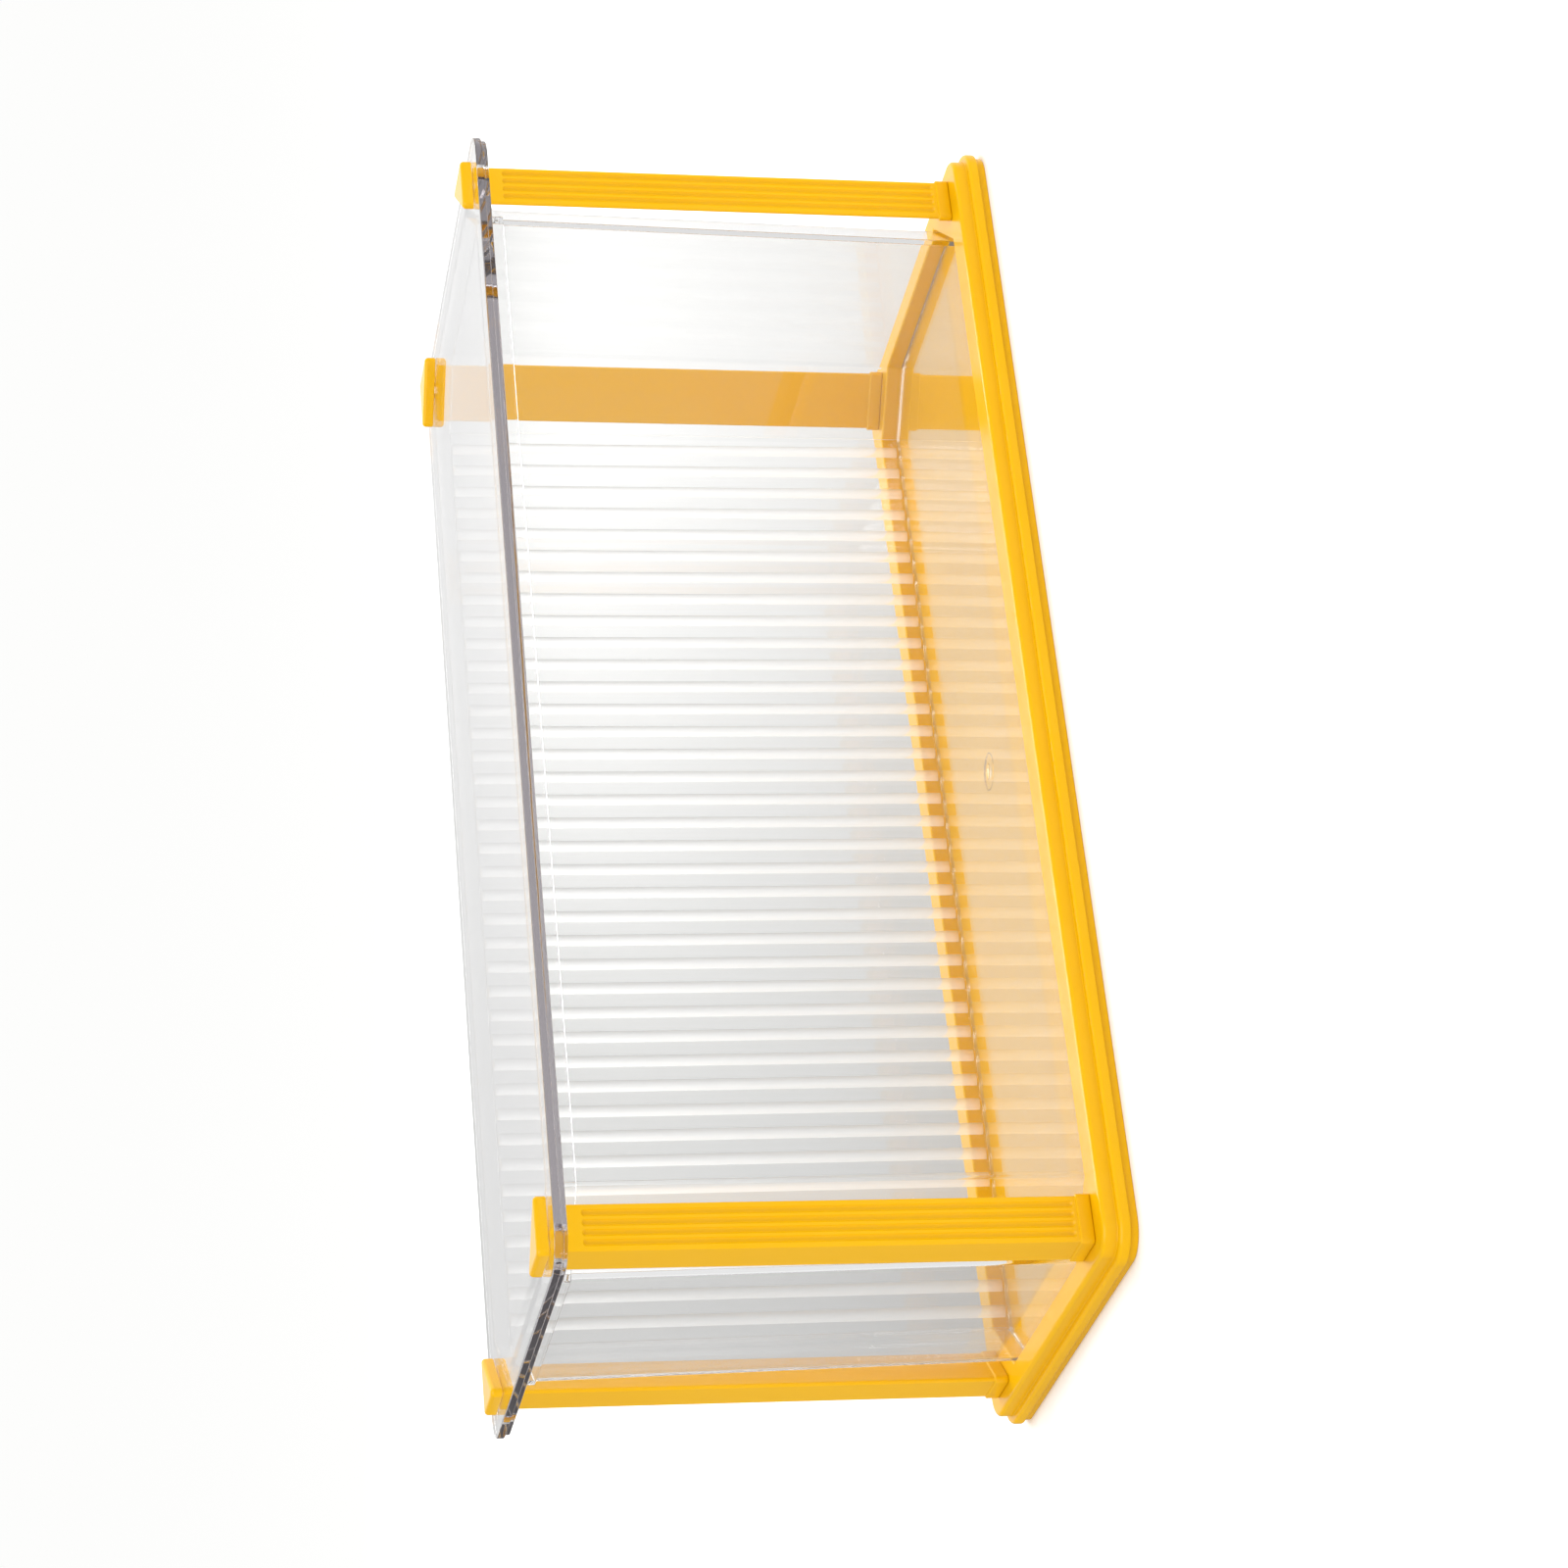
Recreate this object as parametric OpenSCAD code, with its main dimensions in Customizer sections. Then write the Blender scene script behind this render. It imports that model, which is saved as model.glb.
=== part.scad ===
// Stackable display case for small figures: a stepped base tray with four fluted corner posts,
// a clear drafted tub that drops in between the posts, a clear lid, and four caps that pin the lid down.
// Millimetres. +Z is up, X runs along the case, -Y is the front. The origin is the middle of the
// footprint, on the surface that the case stands on.

/* [Case] */
// Length over the widest step of the base
case_l = 320; // [240:1:420]
// Depth over the widest step of the base
case_w = 121; // [96:1:180]
// Height of the posts, from the top of the base to the underside of the lid
post_h = 125.3; // [80:0.1:220]
// Corner radius of the widest step of the base and of the lid
corner_r = 9; // [5:0.5:10]

/* [Base] */
// Height of the lowest, recessed step
plinth_h = 2; // [1.5:0.1:2.8]
// How far the lowest step lies inside the widest one
plinth_inset = 1; // [0.5:0.1:2]
// Height of the widest step
step_h = 2.8; // [2:0.1:4]
// Height of the top step, up to the face that the posts stand on
rim_h = 3.6; // [3:0.1:6]
// How far the top step lies inside the widest one
rim_inset = 2; // [1:0.1:3]
// Height of the recessed floor's upper face
floor_z = 2.4; // [2.2:0.1:3.6]
// Depth of the shallow relief under the floor
under_relief = 0.6; // [0.3:0.1:1]
// Wall left around the hollows in the underside of the rim
base_wall = 2.1; // [1.6:0.1:2.2]
// Thickness of the ribs that cross those hollows
rib_t = 1.4; // [1:0.1:2]
// Number of ribs in the front hollow and in the back one
long_ribs = 6; // [2:1:10]
// Number of ribs in each side hollow
side_ribs = 1; // [1:1:3]

/* [Posts] */
// Width of a post's fluted face, along the case
post_w = 12.5; // [10.5:0.1:15]
// Width of a post's plain face, across the case
post_d = 12.4; // [10:0.1:15]
// From the end of the case to a post's outer side face
post_inset_x = 6.7; // [6:0.1:9]
// From the front of the case to a post's fluted face
post_inset_y = 9.5; // [8:0.1:12]
// Radius of a post's upright edges
post_edge_r = 0.6; // [0.3:0.1:1]
// Height of the foot block under the shaft
foot_h = 3.5; // [2:0.1:6]
// How far the foot block stands out from the shaft
foot_grow = 0.5; // [0.2:0.1:0.8]
// Number of flutes in the fluted face
flutes = 4; // [3:1:4]
// Distance between flutes
flute_pitch = 2.45; // [2:0.05:2.45]
// Width of a flute at the face
flute_w = 1.7; // [1:0.1:1.9]
// Depth of a flute
flute_depth = 0.6; // [0.3:0.1:0.8]
// Plain stretch left above the flutes
flute_top_gap = 4.6; // [3:0.1:10]
// Plain stretch left between the foot block and the flutes
flute_foot_gap = 0.6; // [0.4:0.1:10]

/* [Clear tub] */
// Gap between the post's outer faces and the tub's outer faces, measured inwards at the top
tub_flush = 0.4; // [0:0.1:1]
// Chamfer of the tub's corners along the case
tub_cut_x = 16.3; // [15:0.1:22]
// Chamfer of the tub's corners across the case
tub_cut_y = 17.6; // [16:0.1:24]
// Draft of the tub's walls, in degrees
tub_draft = 0.92; // [0.5:0.01:1]
// Thickness of the tub's walls
tub_wall = 2; // [1.5:0.1:2.4]
// Thickness of the tub's floor
tub_floor = 2; // [1.5:0.1:3]
// Height of the thicker lip round the mouth
lip_h = 4.1; // [2:0.1:8]
// How far the lip stands out from the walls
lip_out = 0.8; // [0.4:0.1:1.2]
// Gap round the tub where it drops into the base
seat_gap = 0.4; // [0.3:0.1:0.8]
// Distance between the reeds on the back wall
reed_pitch = 7.05; // [5:0.05:12]
// Width of a reed
reed_w = 3.4; // [2:0.1:4.5]
// How far a reed stands out from the wall
reed_out = 0.8; // [0.4:0.1:1]
// Plain wall left between the last reed's middle and the corner chamfer
reed_margin = 3.6; // [2.5:0.1:10]
// Diameter of the sprue pad under the middle of the floor
gate_d = 10; // [6:0.5:16]
// Depth of the ring round the sprue pad
gate_depth = 0.5; // [0.2:0.1:0.8]

/* [Lid] */
// Thickness of the lid's upper step
lid_top_t = 1.9; // [1:0.1:3]
// Thickness of the lid's lower step
lid_low_t = 1.4; // [1:0.1:4]
// How far the lower step lies inside the upper one
lid_step = 0.8; // [0.4:0.1:1.5]

/* [Caps] */
// Height of a cap above the lid
cap_h = 3; // [2:0.1:3.4]
// How far a cap stands out from its post
cap_grow = 1.2; // [0.6:0.05:1.4]
// Radius of a cap's upright edges
cap_edge_r = 1.3; // [0.8:0.1:1.6]
// Bevel round a cap's top
cap_bevel = 0.6; // [0.3:0.1:1]
// Diameter of the peg under a cap
peg_d = 4.5; // [3.5:0.1:5]
// Length of the peg inside the post
peg_in_post = 4.2; // [3:0.1:6]
// Difference in diameter between a peg and its holes
peg_gap = 0.3; // [0.2:0.05:0.5]
// Gap left round a cap, and above it, in the stacking pocket under the next case
stack_gap = 0.5; // [0.3:0.1:0.6]

/* [Screws] */
// Diameter of the screw that holds a post from below
screw_d = 2.9; // [2.5:0.1:3.2]
// Length of the screw below its head
screw_l = 11; // [8:0.5:20]
// Diameter of the screw's head
screw_head_d = 5.4; // [4.5:0.1:5.6]
// Height of the screw's head
screw_head_h = 1.6; // [1.2:0.1:1.8]
// Difference in diameter between the screw and its holes
screw_gap = 0.3; // [0.2:0.1:0.5]
// Width of the cross recess in the screw's head
drive_w = 0.8; // [0.6:0.1:1]

/* [Hidden] */

base_colour = "#F2B705";
clear_colour = "#E9EEF0";
steel_colour = "#B9BCC0";

base_h = plinth_h + step_h + rim_h;
lid_z = base_h + post_h;
lid_t = lid_top_t + lid_low_t;
lid_top_z = lid_z + lid_t;

// Outer corner of the posts, and the middle of the circle that touches a post's three faces
post_x = case_l / 2 - post_inset_x;
post_y = case_w / 2 - post_inset_y;
post_slant = norm([post_w, post_d]);
post_core = (post_w + post_d - post_slant) / 2;

// The tub's plan at the mouth, and how much smaller it is lower down
tub_x = post_x - tub_flush;
tub_y = post_y - tub_flush;
function shrink_at(z) = (lid_z - z) * tan(tub_draft);

// Height of the face that the screws' heads pull against, with a head just above the pocket's roof
head_sink = 0.2;
screw_seat_z = cap_h + stack_gap + screw_head_h + head_sink;

// The screws' pointed ends and the cross recess in their heads
screw_tip = 1;
screw_tip_d = screw_d / 3;
drive_l = 0.6 * screw_head_d;
drive_depth = drive_w;

// Pad inside the sprue ring, and where the reeds start and end inside the tub's own plastic
gate_pad_d = gate_d / 3;
reed_foot_z = floor_z + tub_floor / 2;
reed_head_z = lid_z - lip_h / 2;
reed_bite = tub_wall / 4;

// Length of a cap's peg, up to the middle of the cap, and the radius of the cap's upper edges
peg_l = peg_in_post + lid_t + cap_h / 2;
cap_top_r = cap_edge_r - cap_bevel / 2;

slice = 0.01;
over = 1;
$fn = 64;

// Half sizes a and b with corners cut by cx and cy, and every side moved inwards by t
function cut_rect(a, b, cx, cy, t) =
    let (h = norm([cx, cy]),
         ax = a - t,
         by = b - t,
         kx = cx - t * (1 - (h - cx) / cy),
         ky = cy - t * (1 - (h - cy) / cx))
    [[ax, ky - by], [ax, by - ky], [ax - kx, by], [kx - ax, by],
     [-ax, by - ky], [-ax, ky - by], [kx - ax, -by], [ax - kx, -by]];

// The three corners of a post's section with every side moved outwards by t,
// from the outer corner at the origin
function post_points(t) =
    let (k = (post_core + t) / post_core,
         c = [post_core, post_core])
    [for (p = [[0, 0], [post_w, 0], [0, post_d]]) c + k * (p - c)];

// Radius of the circle whose segment has this width and depth
function segment_r(w, depth) = (w * w / 4 + depth * depth) / (2 * depth);

module round_rect(l, w, r) {
    square([l - 2 * r, w], center = true);
    square([l, w - 2 * r], center = true);
    for (sx = [-1, 1], sy = [-1, 1])
        translate([sx * (l / 2 - r), sy * (w / 2 - r)]) circle(r);
}

// One step of the base or lid, lying this far inside the case's outline
module step_slab(inset, z0, h) {
    translate([0, 0, z0])
        linear_extrude(h)
            round_rect(case_l - 2 * inset, case_w - 2 * inset, corner_r - inset);
}

// Puts its child on a post's outer corner: sx is -1 at the left, sy is -1 at the front
module at_corner(sx, sy) {
    translate([sx * post_x, sy * post_y, 0])
        mirror([sx > 0 ? 1 : 0, 0, 0])
            mirror([0, sy > 0 ? 1 : 0, 0])
                children();
}

// Puts its child on the axis of a post, its peg and its screw
module on_post_axis() {
    translate([post_core, post_core, 0]) children();
}

module post_prism(grow, z0, h, edge_r) {
    hull()
        for (p = post_points(grow - edge_r))
            translate([p[0], p[1], z0]) cylinder(r = edge_r, h = h, $fn = 32);
}

// A solid with the tub's plan, drafted, from z0 to z1, every side t inside the outer face
module tub_block(z0, z1, t) {
    hull()
        for (z = [z0, z1 - slice])
            translate([0, 0, z])
                linear_extrude(slice)
                    polygon(cut_rect(tub_x, tub_y, tub_cut_x, tub_cut_y, shrink_at(z) + t));
}

// ---------------------------------------------------------------- base tray

recess_shrink = shrink_at(base_h) - seat_gap;
recess_x = tub_x - recess_shrink;
recess_y = tub_y - recess_shrink;

module tub_recess() {
    translate([0, 0, floor_z])
        linear_extrude(base_h)
            polygon(cut_rect(tub_x, tub_y, tub_cut_x, tub_cut_y, recess_shrink));
}

// Hollow in the underside of a rim, crossed by ribs: length along X, from inner to outer
module rim_hollow(length, inner, outer, ribs) {
    difference() {
        translate([-length / 2, inner, -over])
            cube([length, outer - inner, base_h - base_wall + over]);
        for (i = [1 : ribs])
            translate([length * (i / (ribs + 1) - 0.5) - rib_t / 2, inner - over, -2 * over])
                cube([rib_t, outer - inner + 2 * over, base_h + 3 * over]);
    }
}

module base_hollows() {
    for (a = [0, 180])
        rotate(a)
            rim_hollow(2 * (recess_x - tub_cut_x), recess_y + base_wall,
                       case_w / 2 - rim_inset - base_wall, long_ribs);
    for (a = [90, 270])
        rotate(a)
            rim_hollow(2 * (recess_y - tub_cut_y), recess_x + base_wall,
                       case_l / 2 - rim_inset - base_wall, side_ribs);
    translate([0, 0, -over])
        linear_extrude(under_relief + over)
            polygon(cut_rect(recess_x, recess_y, tub_cut_x, tub_cut_y, base_wall));
}

// The pocket that fits over the cap of the case below, and the hole for the post's screw
module base_corner_cuts() {
    post_prism(cap_grow + stack_gap, -over, cap_h + stack_gap + over, cap_edge_r);
    on_post_axis() {
        cylinder(d = screw_head_d + 2 * screw_gap, h = screw_seat_z);
        cylinder(d = screw_d + screw_gap, h = base_h + over);
    }
}

module base_tray() {
    color(base_colour)
        difference() {
            union() {
                step_slab(plinth_inset, 0, plinth_h);
                step_slab(0, plinth_h, step_h);
                step_slab(rim_inset, plinth_h + step_h, rim_h);
            }
            tub_recess();
            base_hollows();
            for (sx = [-1, 1], sy = [-1, 1]) at_corner(sx, sy) base_corner_cuts();
        }
}

// -------------------------------------------------------------------- posts

flute_r = segment_r(flute_w, flute_depth);
flute_z0 = base_h + foot_h + flute_foot_gap + flute_r;
flute_z1 = lid_z - flute_top_gap - flute_r;
// The flutes are centred on what the rounded edges leave of the face
flute_x0 = (post_w - 2 * post_edge_r - (flutes - 1) * flute_pitch) / 2;

module flute_cuts() {
    for (i = [0 : flutes - 1])
        translate([flute_x0 + i * flute_pitch, flute_depth - flute_r, 0]) {
            translate([0, 0, flute_z0]) cylinder(r = flute_r, h = flute_z1 - flute_z0);
            for (z = [flute_z0, flute_z1]) translate([0, 0, z]) sphere(flute_r);
        }
}

module post(sx, sy) {
    color(base_colour)
        at_corner(sx, sy)
            difference() {
                union() {
                    post_prism(0, base_h, post_h, post_edge_r);
                    post_prism(foot_grow, base_h, foot_h, post_edge_r);
                }
                flute_cuts();
                on_post_axis() {
                    translate([0, 0, base_h - over])
                        cylinder(d = screw_d + screw_gap, h = screw_l + over);
                    translate([0, 0, lid_z - peg_in_post - peg_gap])
                        cylinder(d = peg_d + peg_gap, h = peg_in_post + peg_gap + over);
                }
            }
}

module post_screw() {
    difference() {
        union() {
            translate([0, 0, screw_seat_z - screw_head_h])
                cylinder(d = screw_head_d, h = screw_head_h);
            translate([0, 0, screw_seat_z]) cylinder(d = screw_d, h = screw_l - screw_tip);
            translate([0, 0, screw_seat_z + screw_l - screw_tip])
                cylinder(d1 = screw_d, d2 = screw_tip_d, h = screw_tip);
        }
        for (a = [0, 90])
            rotate(a)
                translate([0, 0, screw_seat_z - screw_head_h])
                    cube([drive_l, drive_w, 2 * drive_depth], center = true);
    }
}

module post_screws() {
    color(steel_colour)
        for (sx = [-1, 1], sy = [-1, 1]) at_corner(sx, sy) on_post_axis() post_screw();
}

// ---------------------------------------------------------------- clear tub

reed_r = segment_r(reed_w, reed_out);
reed_half = tub_x - shrink_at(floor_z) - tub_cut_x - reed_margin;
reeds = 1 + floor(2 * reed_half / reed_pitch);

// Straight upright cylinders leaned by the draft, sunk in the back wall so that a segment shows
module reed_rods() {
    for (i = [0 : reeds - 1])
        translate([(i - (reeds - 1) / 2) * reed_pitch,
                   tub_y - shrink_at(reed_foot_z) - tub_wall - reed_out + reed_r, reed_foot_z])
            rotate([-tub_draft, 0, 0])
                cylinder(r = reed_r, h = lid_z - lip_h - reed_foot_z);
}

module gate_ring() {
    translate([0, 0, floor_z - over])
        difference() {
            cylinder(d = gate_d, h = gate_depth + over);
            cylinder(d = gate_pad_d, h = gate_depth + 2 * over);
        }
}

module clear_tub() {
    color(clear_colour)
        difference() {
            union() {
                difference() {
                    union() {
                        tub_block(floor_z, lid_z, 0);
                        tub_block(lid_z - lip_h, lid_z, -lip_out);
                    }
                    tub_block(floor_z + tub_floor, lid_z + over, tub_wall);
                }
                intersection() {
                    reed_rods();
                    tub_block(reed_foot_z, reed_head_z, reed_bite);
                }
            }
            gate_ring();
        }
}

// ----------------------------------------------------------------- lid, caps

module lid() {
    color(clear_colour)
        difference() {
            union() {
                step_slab(lid_step, lid_z, lid_low_t);
                step_slab(0, lid_z + lid_low_t, lid_top_t);
            }
            for (sx = [-1, 1], sy = [-1, 1])
                at_corner(sx, sy)
                    on_post_axis()
                        translate([0, 0, lid_z - over])
                            cylinder(d = peg_d + peg_gap, h = lid_t + 2 * over);
        }
}

module cap(sx, sy) {
    color(base_colour)
        at_corner(sx, sy) {
            hull() {
                post_prism(cap_grow, lid_top_z, cap_h - cap_bevel, cap_edge_r);
                post_prism(cap_grow - cap_bevel, lid_top_z, cap_h, cap_top_r);
            }
            on_post_axis()
                translate([0, 0, lid_z - peg_in_post])
                    cylinder(d = peg_d, h = peg_l);
        }
}

// ------------------------------------------------------------------ the nodes

base_tray();
post(-1, -1);  // post_front_left
post(1, -1);  // post_front_right
post(-1, 1);  // post_back_left
post(1, 1);  // post_back_right
post_screws();
clear_tub();
lid();
cap(-1, -1);  // cap_front_left
cap(1, -1);  // cap_front_right
cap(-1, 1);  // cap_back_left
cap(1, 1);  // cap_back_right
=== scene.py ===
"""Looks of a stackable clear display case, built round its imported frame.

The case is a stepped gloss tray with four fluted corner columns, a clear drafted tub with a reeded
back, a clear two-step lid and four three-sided caps. Sizes inside the classes are in millimetres,
and every mesh is made in metres where the frame's parts lie.
"""

import logging
import math
from collections.abc import Callable, Sequence
from dataclasses import dataclass
from enum import Enum

import bmesh
import bpy
from mathutils import Matrix, Vector


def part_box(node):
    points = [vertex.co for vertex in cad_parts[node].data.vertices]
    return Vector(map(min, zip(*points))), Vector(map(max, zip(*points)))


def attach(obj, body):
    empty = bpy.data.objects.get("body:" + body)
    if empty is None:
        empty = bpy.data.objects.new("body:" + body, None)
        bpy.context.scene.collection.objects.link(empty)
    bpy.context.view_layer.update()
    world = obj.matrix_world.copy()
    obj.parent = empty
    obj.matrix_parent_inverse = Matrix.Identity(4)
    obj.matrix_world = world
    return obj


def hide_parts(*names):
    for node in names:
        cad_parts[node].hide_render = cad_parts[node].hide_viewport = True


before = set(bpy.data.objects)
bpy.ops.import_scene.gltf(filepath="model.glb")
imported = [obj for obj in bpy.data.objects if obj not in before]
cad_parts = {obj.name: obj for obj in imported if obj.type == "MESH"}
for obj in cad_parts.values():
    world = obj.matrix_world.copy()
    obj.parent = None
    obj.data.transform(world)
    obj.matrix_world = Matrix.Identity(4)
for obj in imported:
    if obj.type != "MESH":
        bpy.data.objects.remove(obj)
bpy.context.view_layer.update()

LOG = logging.getLogger("display_case")
MM = 0.001
LEAST_RADIUS = 0.05
SEAM = 0.05

Point = tuple[float, float]
Ring = list[bmesh.types.BMVert]


# --------------------------------------------------------------------- outlines and mouldings


@dataclass(frozen=True)
class Outline:
    """A convex outline with round corners, listed anticlockwise, in millimetres."""

    corners: tuple[Point, ...]
    radius: float
    steps: int = 5

    def at(self, inset: float, radius: float | None = None) -> list[Point]:
        """Moves every side inwards and rounds the corners.

        Args:
            inset: How far each side moves inwards, or outwards if below nought.
            radius: Corner radius; by default the outline's own less the inset.

        Returns:
            The points, with steps + 1 of them on each corner.
        """
        bend = max(self.radius - inset if radius is None else radius, LEAST_RADIUS)
        count = len(self.corners)
        points = []
        for i, corner in enumerate(self.corners):
            here = Vector(corner)
            before = (here - Vector(self.corners[i - 1])).normalized()
            after = (Vector(self.corners[(i + 1) % count]) - here).normalized()
            side_a = Vector((before.y, -before.x))
            side_b = Vector((after.y, -after.x))
            centre = here - (inset + bend) * (side_a + side_b) / (1 + side_a.dot(side_b))
            start = math.atan2(side_a.y, side_a.x)
            turn = math.atan2(side_a.x * side_b.y - side_a.y * side_b.x, side_a.dot(side_b))
            for k in range(self.steps + 1):
                angle = start + turn * k / self.steps
                points.append((centre.x + bend * math.cos(angle), centre.y + bend * math.sin(angle)))
        return points


def rectangle(x0: float, x1: float, y0: float, y1: float, radius: float, steps: int = 3) -> Outline:
    """Returns an upright rectangle's outline with round corners."""
    return Outline(((x0, y0), (x1, y0), (x1, y1), (x0, y1)), radius, steps)


def circle(x: float, y: float, radius: float, count: int = 40) -> list[Point]:
    """Returns the points of a circle, anticlockwise."""
    turns = [2 * math.pi * k / count for k in range(count)]
    return [(x + radius * math.cos(a), y + radius * math.sin(a)) for a in turns]


def soften(line: Sequence[Point], radii: Sequence[float], steps: int = 4) -> list[Point]:
    """Rounds the inner corners of an open line.

    Args:
        line: The line's corners.
        radii: A radius for each corner but the two ends; nought leaves it sharp.
        steps: Stretches that each round corner is drawn with.

    Returns:
        The rounded line.
    """
    points = [line[0]]
    for i, radius in enumerate(radii, start=1):
        here = Vector(line[i])
        back = (Vector(line[i - 1]) - here).normalized()
        ahead = (Vector(line[i + 1]) - here).normalized()
        if radius <= 0:
            points.append(line[i])
            continue
        half = math.acos(max(-1.0, min(1.0, back.dot(ahead)))) / 2
        centre = here + (back + ahead).normalized() * radius / math.sin(half)
        start = here + back * radius / math.tan(half) - centre
        end = here + ahead * radius / math.tan(half) - centre
        first = math.atan2(start.y, start.x)
        turn = math.atan2(start.x * end.y - start.y * end.x, start.dot(end))
        for k in range(steps + 1):
            angle = first + turn * k / steps
            points.append((centre.x + radius * math.cos(angle), centre.y + radius * math.sin(angle)))
    points.append(line[-1])
    return points


class Moulding:
    """Grows one closed moulding from level rings of points."""

    def __init__(self, place: Callable[[float, float], Point] | None = None) -> None:
        """Starts an empty moulding.

        Args:
            place: Turns a point of the plan into the case's own plan; by default they are the same.
        """
        self.mesh = bmesh.new()
        self.place = place

    def ring(self, points: Sequence[Point], z: float) -> Ring:
        """Adds a level ring of points and returns its vertices."""
        spots = [self.place(x, y) if self.place else (x, y) for x, y in points]
        return [self.mesh.verts.new((x * MM, y * MM, z * MM)) for x, y in spots]

    def skin(self, rings: Sequence[Ring]) -> None:
        """Joins each ring to the next with a band of faces.

        Args:
            rings: The rings in order, all with as many points.
        """
        for low, high in zip(rings, rings[1:]):
            count = len(low)
            for i in range(count):
                j = (i + 1) % count
                self.mesh.faces.new((low[i], low[j], high[j], high[i]))

    def stack(self, outline: Outline, profile: Sequence[Point]) -> tuple[Ring, Ring]:
        """Sweeps a profile round an outline.

        Args:
            outline: The outline at no inset.
            profile: Pairs of inset and height, in order.

        Returns:
            The first and the last ring.
        """
        rings = [self.ring(outline.at(inset), z) for inset, z in profile]
        self.skin(rings)
        return rings[0], rings[-1]

    def bore(self, x: float, y: float, profile: Sequence[Point]) -> tuple[Ring, Ring]:
        """Sweeps a profile round an upright axis.

        Args:
            x: The axis's place along the plan.
            y: The axis's place across the plan.
            profile: Pairs of radius and height, in order.

        Returns:
            The first and the last ring.
        """
        rings = [self.ring(circle(x, y, radius), z) for radius, z in profile]
        self.skin(rings)
        return rings[0], rings[-1]

    def close(self, ring: Ring) -> None:
        """Closes a ring with one flat face."""
        self.mesh.faces.new(ring)

    def plate(self, rim: Ring, holes: Sequence[Ring]) -> None:
        """Fills the level face between a rim and the holes in it.

        Args:
            rim: The face's outer ring.
            holes: The rings round its holes.
        """
        edges = [self._edge(ring[i - 1], ring[i]) for ring in (rim, *holes) for i in range(len(ring))]
        bmesh.ops.triangle_fill(self.mesh, edges=edges, use_beauty=True, normal=(0, 0, 1))

    def _edge(self, a: bmesh.types.BMVert, b: bmesh.types.BMVert) -> bmesh.types.BMEdge:
        """Returns the edge between two vertices, and adds it if there is none."""
        return self.mesh.edges.get((a, b)) or self.mesh.edges.new((a, b))

    def cast(self, name: str, crease: float = 38.0) -> bpy.types.Object:
        """Turns the moulding into an object with soft edges and level faces.

        Args:
            name: The piece's name.
            crease: Edges that turn by more than this many degrees stay sharp.

        Returns:
            The object, linked to the scene.
        """
        bmesh.ops.recalc_face_normals(self.mesh, faces=self.mesh.faces)
        for face in self.mesh.faces:
            face.smooth = True
        data = bpy.data.meshes.new(name)
        self.mesh.to_mesh(data)
        self.mesh.free()
        data.set_sharp_from_angle(angle=math.radians(crease))
        piece = bpy.data.objects.new(name, data)
        bpy.context.scene.collection.objects.link(piece)
        level = piece.modifiers.new("level_faces", "WEIGHTED_NORMAL")
        level.keep_sharp = True
        level.weight = 100
        return piece


# ------------------------------------------------------------------------------------ finishes


def linear(code: str) -> tuple[float, float, float, float]:
    """Turns an sRGB hex colour into a linear one.

    Args:
        code: The colour, such as #F4B400.

    Returns:
        Linear red, green and blue, and full alpha.
    """
    parts = [int(code[i : i + 2], 16) / 255 for i in (1, 3, 5)]
    r, g, b = (c / 12.92 if c <= 0.04045 else ((c + 0.055) / 1.055) ** 2.4 for c in parts)
    return (r, g, b, 1.0)


def waves(size_mm: float) -> float:
    """Returns the noise scale that puts one wave every so many millimetres."""
    return 1 / (size_mm * MM)


def add(
    tree: bpy.types.NodeTree, kind: str, inputs: dict[str | int, object] | None = None, **settings: object
) -> bpy.types.Node:
    """Adds a shader node.

    Args:
        tree: The node tree it goes into.
        kind: The node's type.
        inputs: A value, or the socket to link, for each input by name or number.
        settings: The node's own settings.

    Returns:
        The node.
    """
    made = tree.nodes.new(kind)
    for key, value in settings.items():
        setattr(made, key, value)
    for key, value in (inputs or {}).items():
        if isinstance(value, bpy.types.NodeSocket):
            tree.links.new(value, made.inputs[key])
        else:
            made.inputs[key].default_value = value
    return made


def new_material(name: str) -> tuple[bpy.types.Material, bpy.types.NodeTree, bpy.types.NodeSocket]:
    """Makes an empty material.

    Args:
        name: The material's name.

    Returns:
        The material, its node tree and the socket with its object coordinates.
    """
    material = bpy.data.materials.new(name)
    material.use_nodes = True
    tree = material.node_tree
    tree.nodes.clear()
    place = add(tree, "ShaderNodeTexCoord").outputs["Object"]
    return material, tree, place


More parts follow.
